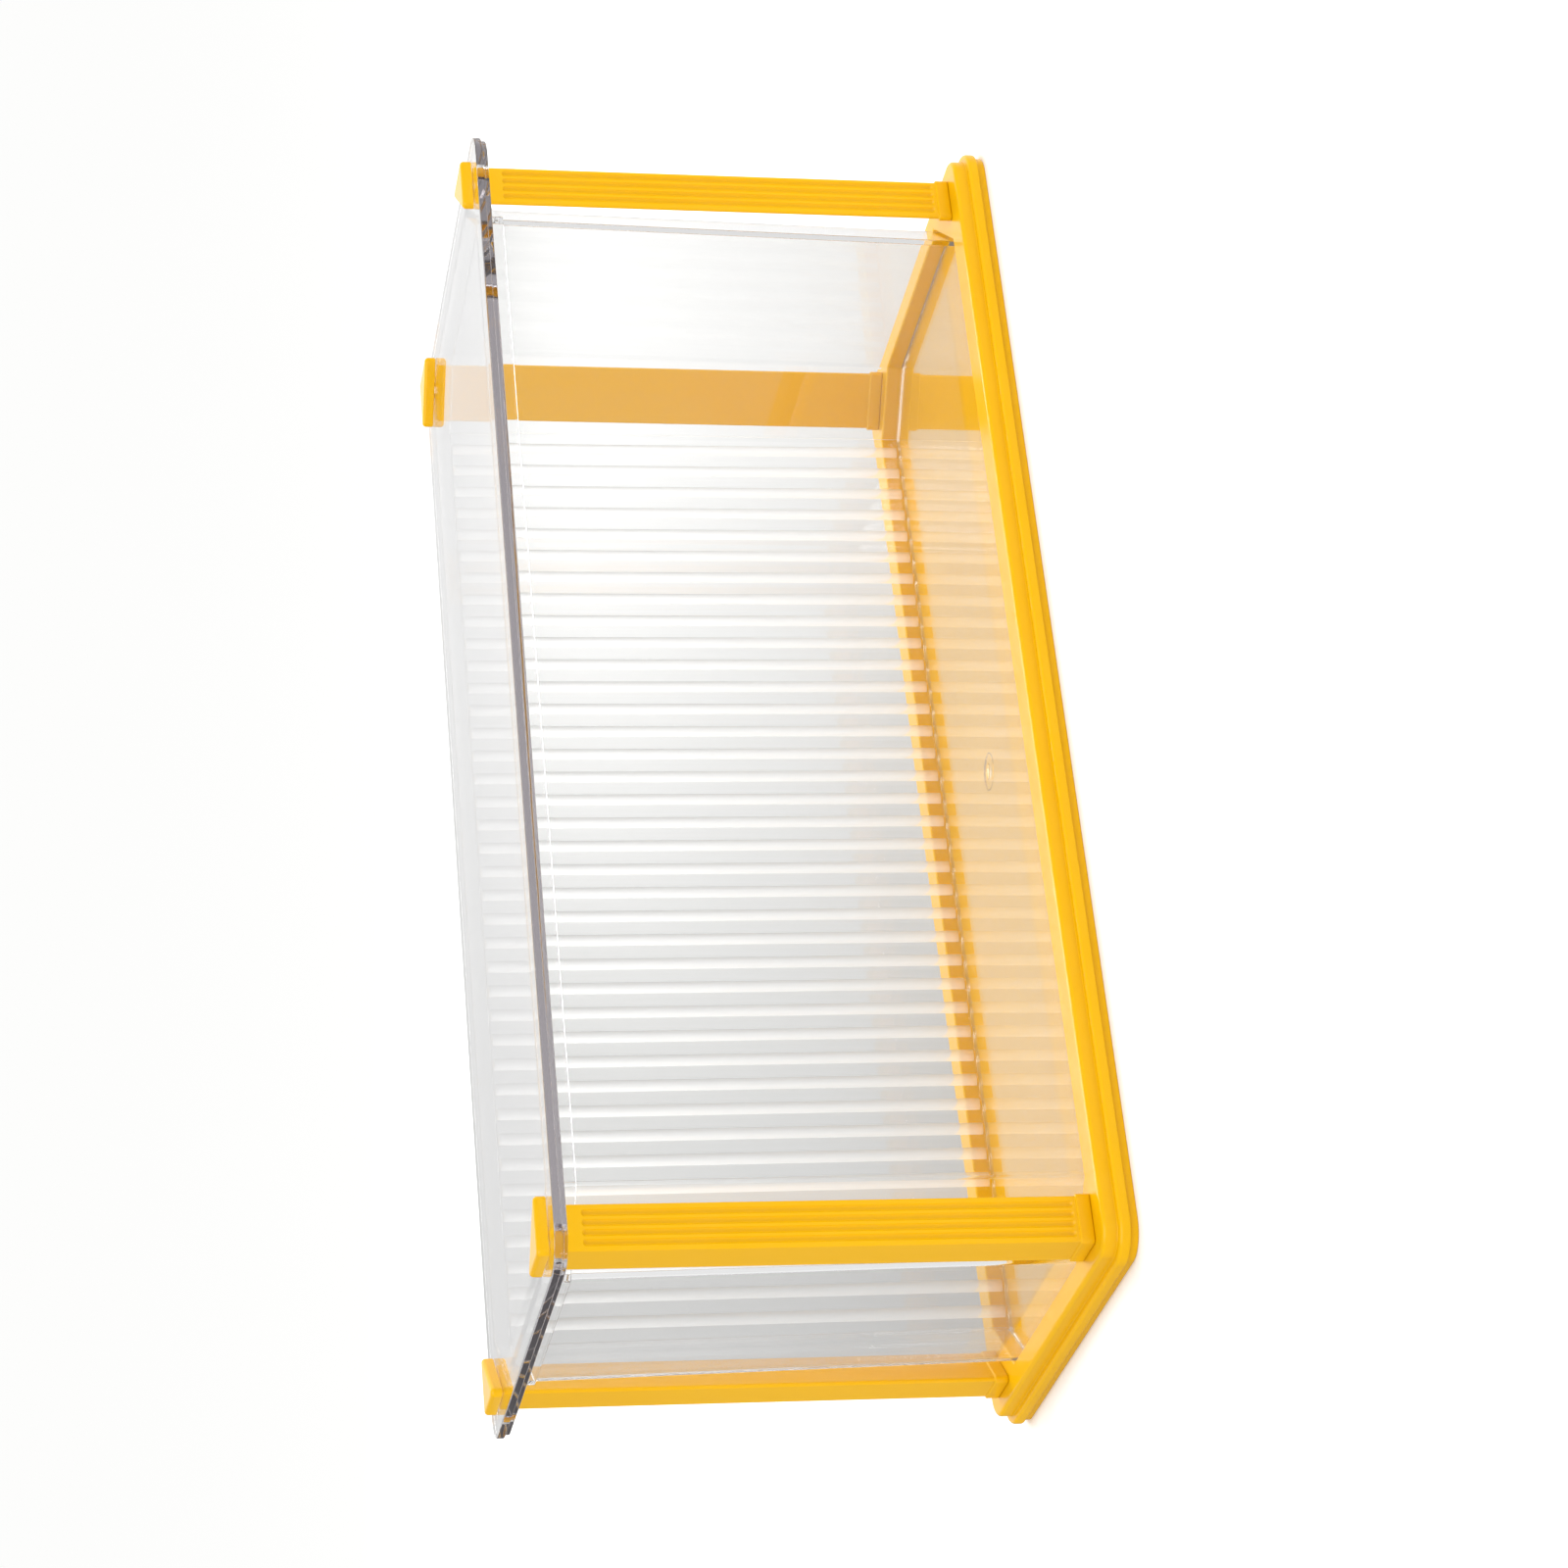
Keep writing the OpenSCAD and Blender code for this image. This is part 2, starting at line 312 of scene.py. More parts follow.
@dataclass(frozen=True)
class GlossAbs:
    """Injection-moulded gloss ABS, coloured through: an even, saturated yellow with soft, bright
    highlights, the faint peel that a polished mould leaves, and slow drifts where the melt flowed."""

    name: str = "yellow_abs_gloss"
    body: str = "#E5B000"
    flow: str = "#E3AA00"
    ior: float = 1.5
    gleam: float = 0.4
    roughness: tuple[float, float] = (0.17, 0.25)
    flow_mm: float = 42.0
    peel_mm: float = 2.6
    peel_height_mm: float = 0.0022
    haze_mm: float = 9.0
    haze_span: tuple[float, float] = (0.3, 0.7)

    def build(self) -> bpy.types.Material:
        """Returns the finished material."""
        material, tree, place = new_material(self.name)
        drift = add(tree, "ShaderNodeTexNoise", {"Vector": place, "Scale": waves(self.flow_mm), "Detail": 3.0})
        colour = add(
            tree,
            "ShaderNodeMix",
            {"Factor": drift.outputs["Fac"], 6: linear(self.body), 7: linear(self.flow)},
            data_type="RGBA",
        )
        haze = add(tree, "ShaderNodeTexNoise", {"Vector": place, "Scale": waves(self.haze_mm), "Detail": 4.0})
        rough = add(
            tree,
            "ShaderNodeMapRange",
            {
                "Value": haze.outputs["Fac"],
                "From Min": self.haze_span[0],
                "From Max": self.haze_span[1],
                "To Min": self.roughness[0],
                "To Max": self.roughness[1],
            },
        )
        peel = add(tree, "ShaderNodeTexNoise", {"Vector": place, "Scale": waves(self.peel_mm), "Detail": 2.0})
        bump = add(
            tree,
            "ShaderNodeBump",
            {"Height": peel.outputs["Fac"], "Strength": 1.0, "Distance": self.peel_height_mm * MM},
        )
        shader = add(
            tree,
            "ShaderNodeBsdfPrincipled",
            {
                "Base Color": colour.outputs[2],
                "Roughness": rough.outputs["Result"],
                "IOR": self.ior,
                "Specular IOR Level": self.gleam,
                "Normal": bump.outputs["Normal"],
            },
        )
        add(tree, "ShaderNodeOutputMaterial", {"Surface": shader.outputs["BSDF"]})
        return material


@dataclass(frozen=True)
class ClearStyrene:
    """Moulded clear polystyrene: bright mirror-like reflections, a grey cast through a wall, mauve-grey
    edges where light has run the long way through a thick plate, and milkier ribs where it is reeded."""

    name: str = "clear_styrene"
    ior: float = 1.57
    roughness: tuple[float, float] = (0.0, 0.012)
    edge_tint: str = "#B9AEB6"
    edge_density: float = 0.0
    milk: float = 0.0
    milk_white: str = "#FCFCFB"
    passed_light: float = 0.97
    ripple_mm: float = 16.0
    ripple_height_mm: float = 0.003
    haze_mm: float = 30.0
    haze_span: tuple[float, float] = (0.4, 0.75)
    last_bounce: float = 6.0

    def build(self) -> bpy.types.Material:
        """Returns the finished material, which lets lamps, bounced light and trapped rays out."""
        material, tree, place = new_material(self.name)
        haze = add(tree, "ShaderNodeTexNoise", {"Vector": place, "Scale": waves(self.haze_mm), "Detail": 5.0})
        rough = add(
            tree,
            "ShaderNodeMapRange",
            {
                "Value": haze.outputs["Fac"],
                "From Min": self.haze_span[0],
                "From Max": self.haze_span[1],
                "To Min": self.roughness[0],
                "To Max": self.roughness[1],
            },
        )
        ripple = add(tree, "ShaderNodeTexNoise", {"Vector": place, "Scale": waves(self.ripple_mm), "Detail": 1.0})
        bump = add(
            tree,
            "ShaderNodeBump",
            {"Height": ripple.outputs["Fac"], "Strength": 1.0, "Distance": self.ripple_height_mm * MM},
        )
        shader = add(
            tree,
            "ShaderNodeBsdfPrincipled",
            {
                "Base Color": (1.0, 1.0, 1.0, 1.0),
                "Roughness": rough.outputs["Result"],
                "IOR": self.ior,
                "Transmission Weight": 1.0,
                "Normal": bump.outputs["Normal"],
            },
        )
        open_way = add(tree, "ShaderNodeBsdfTransparent", {"Color": (self.passed_light,) * 3 + (1.0,)})
        ray = add(tree, "ShaderNodeLightPath")
        lamp = add(
            tree,
            "ShaderNodeMath",
            {0: ray.outputs["Is Shadow Ray"], 1: ray.outputs["Is Diffuse Ray"]},
            operation="MAXIMUM",
        )
        trapped = add(
            tree, "ShaderNodeMath", {0: ray.outputs["Ray Depth"], 1: self.last_bounce}, operation="GREATER_THAN"
        )
        either = add(
            tree, "ShaderNodeMath", {0: lamp.outputs["Value"], 1: trapped.outputs["Value"]}, operation="MAXIMUM"
        )
        solid = shader.outputs["BSDF"]
        if self.milk > 0:
            glow = add(tree, "ShaderNodeBsdfTranslucent", {"Color": linear(self.milk_white)})
            milky = add(tree, "ShaderNodeMixShader", {"Fac": self.milk, 1: solid, 2: glow.outputs["BSDF"]})
            solid = milky.outputs["Shader"]
        surface = add(
            tree,
            "ShaderNodeMixShader",
            {"Fac": either.outputs["Value"], 1: solid, 2: open_way.outputs["BSDF"]},
        )
        out = add(tree, "ShaderNodeOutputMaterial", {"Surface": surface.outputs["Shader"]})
        if self.edge_density > 0:
            depth = add(
                tree,
                "ShaderNodeVolumeAbsorption",
                {"Color": linear(self.edge_tint), "Density": self.edge_density},
            )
            tree.links.new(depth.outputs["Volume"], out.inputs["Volume"])
        return material


@dataclass(frozen=True)
class ZincSteel:
    """Zinc-plated steel, cold headed: a bright, slightly blue grey with a soft, cloudy sheen."""

    name: str = "zinc_plated_steel"
    plate: str = "#C3C7CC"
    cloud: str = "#A9AEB6"
    roughness: tuple[float, float] = (0.24, 0.42)
    grain_mm: float = 0.7
    grain_height_mm: float = 0.01
    grain_depth: float = 0.6

    def build(self) -> bpy.types.Material:
        """Returns the finished material."""
        material, tree, place = new_material(self.name)
        cloud = add(tree, "ShaderNodeTexNoise", {"Vector": place, "Scale": waves(self.grain_mm), "Detail": 4.0})
        colour = add(
            tree,
            "ShaderNodeMix",
            {"Factor": cloud.outputs["Fac"], 6: linear(self.plate), 7: linear(self.cloud)},
            data_type="RGBA",
        )
        rough = add(
            tree,
            "ShaderNodeMapRange",
            {"Value": cloud.outputs["Fac"], "To Min": self.roughness[0], "To Max": self.roughness[1]},
        )
        bump = add(
            tree,
            "ShaderNodeBump",
            {
                "Height": cloud.outputs["Fac"],
                "Strength": self.grain_depth,
                "Distance": self.grain_height_mm * MM,
            },
        )
        shader = add(
            tree,
            "ShaderNodeBsdfPrincipled",
            {
                "Base Color": colour.outputs[2],
                "Metallic": 1.0,
                "Roughness": rough.outputs["Result"],
                "Normal": bump.outputs["Normal"],
            },
        )
        add(tree, "ShaderNodeOutputMaterial", {"Surface": shader.outputs["BSDF"]})
        return material


@dataclass(frozen=True)
class PaleBoard:
    """Matt white studio board: pale and even, with a trace of paper tooth. Where it is seen through the plastic it
    carries painted shade, darkest on the left and lighter towards the right, so that the clear walls read."""

    name: str = "pale_board"
    face: str = "#F9F9F8"
    shade: str = "#F4F4F3"
    # Painted shade: the board's colour where it is seen through the plastic, darker at the left and lighter at the
    # right.
    painted_shade_left: str = "#A6A6A5"
    painted_shade_right: str = "#BEBEBD"
    across: tuple[float, float, float] = (0.875, -0.485, 0.0)
    fade_mm: tuple[float, float] = (-140.0, 140.0)
    tooth_mm: float = 1.5
    roughness: float = 0.9

    def build(self) -> bpy.types.Material:
        """Returns the finished material."""
        material, tree, place = new_material(self.name)
        tooth = add(tree, "ShaderNodeTexNoise", {"Vector": place, "Scale": waves(self.tooth_mm), "Detail": 2.0})
        colour = add(
            tree,
            "ShaderNodeMix",
            {"Factor": tooth.outputs["Fac"], 6: linear(self.face), 7: linear(self.shade)},
            data_type="RGBA",
        )
        ray = add(tree, "ShaderNodeLightPath")
        side = add(tree, "ShaderNodeVectorMath", {0: place, 1: self.across}, operation="DOT_PRODUCT")
        fade = add(
            tree,
            "ShaderNodeMapRange",
            {"Value": side.outputs["Value"], "From Min": self.fade_mm[0] * MM, "From Max": self.fade_mm[1] * MM},
        )
        # Painted shade: a darker colour, fading from left to right along `across`, shown only to rays that came
        # through the plastic.
        behind = add(
            tree,
            "ShaderNodeMix",
            {"Factor": fade.outputs["Result"], 6: linear(self.painted_shade_left), 7: linear(self.painted_shade_right)},
            data_type="RGBA",
        )
        face = add(
            tree,
            "ShaderNodeMix",
            {"Factor": ray.outputs["Is Transmission Ray"], 6: colour.outputs[2], 7: behind.outputs[2]},
            data_type="RGBA",
        )
        shader = add(
            tree,
            "ShaderNodeBsdfPrincipled",
            {"Base Color": face.outputs[2], "Roughness": self.roughness, "Specular IOR Level": 0.0},
        )
        add(tree, "ShaderNodeOutputMaterial", {"Surface": shader.outputs["BSDF"]})
        return material


# ------------------------------------------------------------------------------- the case's plan


class Corner(Enum):
    """The four corners, each with its side along the case and across it."""

    FRONT_LEFT = (-1, -1)
    FRONT_RIGHT = (1, -1)
    BACK_LEFT = (-1, 1)
    BACK_RIGHT = (1, 1)

    @property
    def label(self) -> str:
        """The corner's name in plain small letters."""
        return self.name.lower()


@dataclass(frozen=True)
class CasePlan:
    """Where the frame's parts lie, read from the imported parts, and the sizes that they share."""

    half_l: float
    half_w: float
    base_h: float
    floor_z: float
    lid_z: float
    lid_top: float
    cap_top: float
    peg_low: float
    post_x: float
    post_y: float
    mouth_x: float
    mouth_y: float
    corner_r: float = 9.0
    post_w: float = 12.5
    post_d: float = 12.4
    foot_grow: float = 0.5
    tub_cut_x: float = 16.3
    tub_cut_y: float = 17.6
    tub_draft: float = 0.92
    lip_out: float = 0.8
    seat_gap: float = 0.4

    @classmethod
    def read(cls) -> "CasePlan":
        """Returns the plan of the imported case."""
        tray_low, tray_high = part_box("base_tray")
        post_low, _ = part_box("post_front_left")
        tub_low, tub_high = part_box("clear_tub")
        lid_low, lid_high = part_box("lid")
        cap_low, cap_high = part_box("cap_front_left")
        return cls(
            half_l=tray_high.x / MM,
            half_w=tray_high.y / MM,
            base_h=tray_high.z / MM,
            floor_z=tub_low.z / MM,
            lid_z=lid_low.z / MM,
            lid_top=lid_high.z / MM,
            cap_top=cap_high.z / MM,
            peg_low=cap_low.z / MM,
            post_x=-post_low.x / MM - cls.foot_grow,
            post_y=-post_low.y / MM - cls.foot_grow,
            mouth_x=tub_high.x / MM - cls.lip_out,
            mouth_y=tub_high.y / MM - cls.lip_out,
        )

    @property
    def post_core(self) -> float:
        """The distance from a post's outer faces to the axis of its peg and screw."""
        return (self.post_w + self.post_d - math.hypot(self.post_w, self.post_d)) / 2

    def shrink(self, z: float) -> float:
        """Returns how far the tub's draft has drawn its walls in at a height."""
        return (self.lid_z - z) * math.tan(math.radians(self.tub_draft))

    def slab(self) -> Outline:
        """Returns the outline of the widest step of the tray, which is the lid's too."""
        x, y = self.half_l, self.half_w
        return rectangle(-x, x, -y, y, self.corner_r, steps=12)

    def mouth(self, radius: float) -> Outline:
        """Draws the tub's eight-sided outline at its mouth.

        Args:
            radius: The radius of its corners.

        Returns:
            The outline.
        """
        a, b, cx, cy = self.mouth_x, self.mouth_y, self.tub_cut_x, self.tub_cut_y
        return Outline(
            (
                *((a, cy - b), (a, b - cy), (a - cx, b), (cx - a, b)),
                *((-a, b - cy), (-a, cy - b), (cx - a, -b), (a - cx, -b)),
            ),
            radius,
        )

    def post_outline(self, radius: float) -> Outline:
        """Returns a post's three-sided outline, from its outer corner."""
        return Outline(((0, 0), (self.post_w, 0), (0, self.post_d)), radius)

    def at_corner(self, corner: Corner) -> Callable[[float, float], Point]:
        """Finds how a post's own plan lies at a corner of the case.

        Args:
            corner: The corner.

        Returns:
            The function that carries a point from the post's plan to the case's.
        """
        sx, sy = corner.value

        def carry(x: float, y: float) -> Point:
            """Returns the case's point for a post's own point."""
            return (sx * (self.post_x - x), sy * (self.post_y - y))

        return carry


# ---------------------------------------------------------------------------------- sub-assemblies


@dataclass
class BaseTray:
    """The stepped gloss tray with its recessed floor and the hollows in its underside."""

    plan: CasePlan
    plinth_h: float = 2.0
    plinth_inset: float = 1.0
    step_h: float = 2.8
    rim_inset: float = 2.0
    under_relief: float = 0.6
    base_wall: float = 2.1
    rib_t: float = 1.4
    long_ribs: int = 6
    side_ribs: int = 1
    pocket_grow: float = 1.7
    pocket_h: float = 3.5
    screw_room_r: float = 3.0
    screw_seat_z: float = 5.3
    mould_edge: float = 0.3
    recess_r: float = 1.2
    recess_rim_r: float = 0.6
    recess_floor_r: float = 0.4
    cell_r: float = 0.5

    def build(self) -> bpy.types.Object:
        """Returns the tray as one closed moulding."""
        plan = self.plan
        body = Moulding()
        under, top = body.stack(plan.slab(), self._side_profile())
        recess, edge = plan.mouth(self.recess_r), self.mould_edge
        tight = plan.shrink(plan.base_h) - plan.seat_gap
        wall = soften(
            [(tight - 1.0, plan.base_h), (tight, plan.base_h), (tight, plan.floor_z), (tight + 1.0, plan.floor_z)],
            [self.recess_rim_r, self.recess_floor_r],
        )
        mouth, floor = body.stack(recess, wall)
        body.plate(top, [mouth])
        body.close(floor)
        holes = [self._pocket(body, cell, plan.base_h - self.base_wall) for cell in self._hollows(tight)]
        relief = Outline(recess.corners, recess.radius)
        rise = self.under_relief
        inner = tight + self.base_wall
        line = soften([(inner - edge, 0), (inner, 0), (inner, rise), (inner + 1, rise)], [edge, edge / 2])
        low, high = body.stack(relief, line)
        body.close(high)
        holes.append(low)
        holes += [self._cap_pocket(body, corner) for corner in Corner]
        body.plate(under, holes)
        return body.cast("tray_moulding")

    def _side_profile(self) -> list[Point]:
        """Returns the stepped side as pairs of inset and height, from the underside to the top face."""
        low, step, top = self.plinth_h, self.plinth_h + self.step_h, self.plan.base_h
        line = [
            (self.plinth_inset + 0.6, 0),
            (self.plinth_inset, 0),
            (self.plinth_inset, low),
            (0, low),
            (0, step),
            (self.rim_inset, step),
            (self.rim_inset, top),
            (self.rim_inset + 1.6, top),
        ]
        return soften(line, [0.25, 0.12, 0.55, 0.85, 0.3, 1.0], steps=5)

    def _hollows(self, tight: float) -> list[Outline]:
        """Returns the outline of each cell between the ribs in the underside.

        Args:
            tight: How far the recess lies inside the tub's mouth.

        Returns:
            The cells, in the front and back rims and in the side rims.
        """
        plan, cells = self.plan, []
        reach_x = plan.mouth_x - tight
        reach_y = plan.mouth_y - tight
        outer = self.rim_inset + self.base_wall
        for sign in (-1, 1):
            for low, high in self._bays(reach_x - plan.tub_cut_x, self.long_ribs):
                y = sorted((sign * (reach_y + self.base_wall), sign * (plan.half_w - outer)))
                cells.append(rectangle(low, high, y[0], y[1], self.cell_r))
            for low, high in self._bays(reach_y - plan.tub_cut_y, self.side_ribs):
                x = sorted((sign * (reach_x + self.base_wall), sign * (plan.half_l - outer)))
                cells.append(rectangle(x[0], x[1], low, high, self.cell_r))
        return cells

    def _bays(self, half: float, ribs: int) -> list[Point]:
        """Spaces the bays between ribs evenly along a stretch.

        Args:
            half: Half of the stretch's length.
            ribs: How many ribs part it.

        Returns:
            The start and end of each bay.
        """
        middles = [half * (2 * i / (ribs + 1) - 1) for i in range(ribs + 2)]
        trim = [0.0] + [self.rib_t / 2] * ribs + [0.0]
        return [(middles[i] + trim[i], middles[i + 1] - trim[i + 1]) for i in range(ribs + 1)]

    def _pocket(self, body: Moulding, cell: Outline, top: float) -> Ring:
        """Sinks a blind pocket in the underside.

        Args:
            body: The tray's moulding.
            cell: The pocket's outline.
            top: The height of its ceiling.

        Returns:
            The ring round its mouth.
        """
        edge = self.mould_edge
        line = soften([(-edge, 0), (0, 0), (0, top), (1, top)], [edge, edge])
        low, high = body.stack(cell, line)
        body.close(high)
        return low

    def _cap_pocket(self, body: Moulding, corner: Corner) -> Ring:
        """Sinks the pocket for the cap of a case below, with the room for a screw in its ceiling.

        Args:
            body: The tray's moulding.
            corner: The corner that it lies at.

        Returns:
            The ring round its mouth.
        """
        plan, edge = self.plan, self.mould_edge
        body.place = plan.at_corner(corner)
        grow = self.pocket_grow
        deep, core, r = self.pocket_h, plan.post_core, self.screw_room_r
        line = soften([(-grow - edge, 0), (-grow, 0), (-grow, deep), (1 - grow, deep)], [edge, edge])
        low, ceiling = body.stack(plan.post_outline(edge), line)
        mouth, seat = body.bore(core, core, [(r, deep), (r, self.screw_seat_z)])
        body.plate(ceiling, [mouth])
        body.close(seat)
        body.place = None
        return low

    def dress(self, piece: bpy.types.Object, finish: bpy.types.Material) -> None:
        """Gives the tray its finish, body and CAD part."""
        settle(piece, finish, "base", "base_tray")


@dataclass
class Column:
    """One three-sided corner column: foot block, fluted face and the bores for its screw and peg."""

    plan: CasePlan
    corner: Corner
    foot_h: float = 3.5
    edge_r: float = 0.6
    flutes: int = 4
    flute_pitch: float = 2.45
    flute_w: float = 1.7
    flute_depth: float = 0.6
    flute_top_gap: float = 4.6
    flute_foot_gap: float = 0.6
    peg_r: float = 2.4
    peg_depth: float = 4.5
    screw_r: float = 1.6
    screw_depth: float = 11.0
    flute_points: int = 9

    @property
    def flute_r(self) -> float:
        """The radius of a flute's round bottom."""
        half, depth = self.flute_w / 2, self.flute_depth
        return (half * half + depth * depth) / (2 * depth)

    def build(self) -> bpy.types.Object:
        """Returns the column as one closed moulding."""
        plan = self.plan
        body = Moulding(plan.at_corner(self.corner))
        outline = plan.post_outline(self.edge_r)
        rings = [body.ring(self._fluted(outline, inset, z), z) for inset, z in self._levels()]
        body.skin(rings)
        core = plan.post_core
        low, high = rings[0], rings[-1]
        z0, z1 = plan.base_h + SEAM, plan.lid_z - SEAM
        screw = [(self.screw_r, z0), (self.screw_r, z0 + self.screw_depth)]
        peg = soften([(self.peg_r + 0.5, z1), (self.peg_r, z1 - 0.5), (self.peg_r, z1 - self.peg_depth)], [0.2])
        for face, line in ((low, screw), (high, peg)):
            mouth, end = body.bore(core, core, line)
            body.plate(face, [mouth])
            body.close(end)
        return body.cast(f"column_{self.corner.label}")

    def _levels(self) -> list[Point]:
        """Returns pairs of inset and height for the rings, from the foot up."""
        plan, grow = self.plan, self.plan.foot_grow
        z0, foot, z1 = plan.base_h + SEAM, plan.base_h + self.foot_h, plan.lid_z - SEAM
        line = soften(
            [(0.3 - grow, z0), (-grow, z0), (-grow, foot), (0, foot), (0, foot + 0.4)],
            [0.25, 0.4, 0.1],
        )
        half = self.flute_w / 2
        ends = [half * math.cos(math.radians(a)) for a in (0, 12, 28, 45, 62, 78, 90)]
        start = foot + self.flute_foot_gap + self.flute_r
        stop = plan.lid_z - self.flute_top_gap - self.flute_r
        line += [(0, start - d) for d in ends]
        line += [(0, stop + d) for d in reversed(ends)]
        return line + soften([(0, z1 - 0.6), (0, z1), (0.6, z1)], [0.35])

    def _fluted(self, outline: Outline, inset: float, z: float) -> list[Point]:
        """Draws the column's outline at a height, with its flutes.

        Args:
            outline: The plain three-sided outline.
            inset: How far inside it this ring lies.
            z: The height.

        Returns:
            The ring's points, in the column's own plan.
        """
        points = outline.at(inset)
        start = self.plan.base_h + self.foot_h + self.flute_foot_gap + self.flute_r
        stop = self.plan.lid_z - self.flute_top_gap - self.flute_r
        past = max(start - z, z - stop, 0.0)
        first = (self.plan.post_w - 2 * self.edge_r - (self.flutes - 1) * self.flute_pitch) / 2
        cuts = []
        for i in range(self.flutes):
            for k in range(self.flute_points):
                x = -math.cos(math.pi * k / (self.flute_points - 1)) * self.flute_w / 2
                room = self.flute_r**2 - x * x - past * past
                depth = math.sqrt(max(room, 0.0)) - (self.flute_r - self.flute_depth)
                cuts.append((first + i * self.flute_pitch + x, inset + max(depth, 0.0)))
        after = outline.steps + 1
        return points[:after] + cuts + points[after:]

    def dress(self, piece: bpy.types.Object, finish: bpy.types.Material) -> None:
        """Gives the column its finish, body and CAD part."""
        settle(piece, finish, "base", f"post_{self.corner.label}")


@dataclass
class ClearTub:
    """The clear drafted tub: plain front and ends, a reeded back, a thicker lip and a sprue ring."""

    plan: CasePlan
    wall: float = 2.0
    floor_t: float = 2.0
    lip_h: float = 4.1
    reed_pitch: float = 7.05
    reed_w: float = 3.4
    reed_out: float = 0.8
    reed_margin: float = 3.6
    reed_points: int = 11
    reed_least: float = 0.02
    upright_r: float = 0.9
    inner_r: float = 0.35
    foot_r: float = 0.6
    edge_r: float = 0.25
    gate_r: float = 5.0
    gate_pip_r: float = 1.7
    gate_depth: float = 0.5
    reed_finish: ClearStyrene = ClearStyrene("clear_styrene_reeded", roughness=(0.0, 0.04), milk=0.5)

    def build(self) -> bpy.types.Object:
        """Returns the tub as one closed moulding, with its reeds marked for their own finish."""
        plan = self.plan
        body = Moulding()
        z0 = plan.floor_z + SEAM
        rings = [body.ring(*level) for level in self._inner_levels(z0 + self.floor_t)]
        rings += [body.ring(*level) for level in self._outer_levels(z0)]
        body.skin(rings)
        body.close(rings[0])
        mouth, pip = body.bore(0, 0, self._gate_profile(z0))
        body.plate(rings[-1], [mouth])
        body.close(pip)
        piece = body.cast("tub_moulding", crease=50)
        for face in piece.data.polygons:
            face.material_index = int(self._on_reed(face.center / MM))
        return piece

    def _on_reed(self, spot: Vector) -> bool:
        """Tells the reeds' faces from the plain wall's.

        Args:
            spot: The middle of a face.

        Returns:
            Whether it lies on a reed.
        """
        low = self.plan.floor_z + SEAM + self.floor_t + self.foot_r
        proud = self.plan.mouth_y - self.plan.shrink(spot.z) - self.wall - spot.y
        return low < spot.z < self.plan.lid_z - self.lip_h and self.reed_least < proud < self.reed_out

    def _outline(self, z: float, inset: float, radius: float, reed: float) -> list[Point]:
        """Returns the tub's outline at a height.

        Args:
            z: The height.
            inset: How far inside the outer face it lies, before the lip.
            radius: The radius of the upright corners.
            reed: How much of the reeds' full height shows, from 0 to 1.

        Returns:
            The points, with the reeds on the back wall.
        """
        outline = self.plan.mouth(radius)
        drawn_in = self.plan.shrink(z) + inset
        points = outline.at(drawn_in, radius)
        after = 3 * (outline.steps + 1)
        y = self.plan.mouth_y - drawn_in
        return points[:after] + [(x, y - reed * rise) for x, rise in self._reeds()] + points[after:]

    def _reeds(self) -> list[Point]:
        """Returns each reed point's place along the back wall and its rise, from the right to the left."""
        plan = self.plan
        half = plan.mouth_x - plan.shrink(plan.floor_z) - plan.tub_cut_x - self.reed_margin
        count = 1 + math.floor(2 * half / self.reed_pitch)
        side = self.reed_w / 2
        bend = (side * side + self.reed_out**2) / (2 * self.reed_out)
        spots = []
        for i in reversed(range(count)):
            middle = (i - (count - 1) / 2) * self.reed_pitch
            for k in range(self.reed_points):
                x = math.cos(math.pi * k / (self.reed_points - 1)) * side
                spots.append((middle + x, math.sqrt(bend * bend - x * x) - (bend - self.reed_out)))
        return spots

    def _inner_levels(self, floor: float) -> list[tuple[list[Point], float]]:
        """Lists the rings of the inside.

        Args:
            floor: The height of the inner floor.

        Returns:
            The outline and height of each ring from the inner floor up to the mouth.
        """
        plan, wall, top = self.plan, self.wall, self.plan.lid_z - SEAM
        reed_top = plan.lid_z - self.lip_h
        levels = []
        for a in (0, 18, 36, 54, 72, 90):
            turn = math.radians(a)
            inset = wall + self.foot_r * (1 - math.sin(turn))
            z = floor + self.foot_r * (1 - math.cos(turn))
            levels.append((self._outline(z, inset, self.inner_r, math.sin(turn)), z))
        for share in (0.25, 0.5, 0.75):
            z = floor + share * (reed_top - floor)
            levels.append((self._outline(z, wall, self.inner_r, 1.0), z))
        for a in (0, 25, 45, 65, 80, 90):
            turn = math.radians(a)
            z = reed_top - self.reed_out * (1 - math.sin(turn))
            levels.append((self._outline(z, wall, self.inner_r, math.cos(turn)), z))
        for inset, z in soften([(wall, top - 1), (wall, top), (wall - 0.6, top)], [self.edge_r]):
            levels.append((self._outline(z, inset, self.inner_r, 0.0), z))
        return levels

    def _outer_levels(self, bottom: float) -> list[tuple[list[Point], float]]:
        """Lists the rings of the outside.

        Args:
            bottom: The height of the underside.

        Returns:
            The outline and height of each ring from the mouth down to the underside.
        """
        out, top, lip = -self.plan.lip_out, self.plan.lid_z - SEAM, self.plan.lid_z - self.lip_h
        edge = self.edge_r
        line = soften(
            [(out + 0.6, top), (out, top), (out, lip), (0, lip), (0, lip - 1)],
            [edge, edge, edge / 2],
        )
        low = soften([(0, bottom + 2), (0, bottom), (1, bottom)], [self.foot_r], steps=5)
        middle = [(0, bottom + share * (lip - bottom)) for share in (0.75, 0.5, 0.25)]
        return [(self._outline(z, inset, self.upright_r, 0.0), z) for inset, z in line + middle + low]

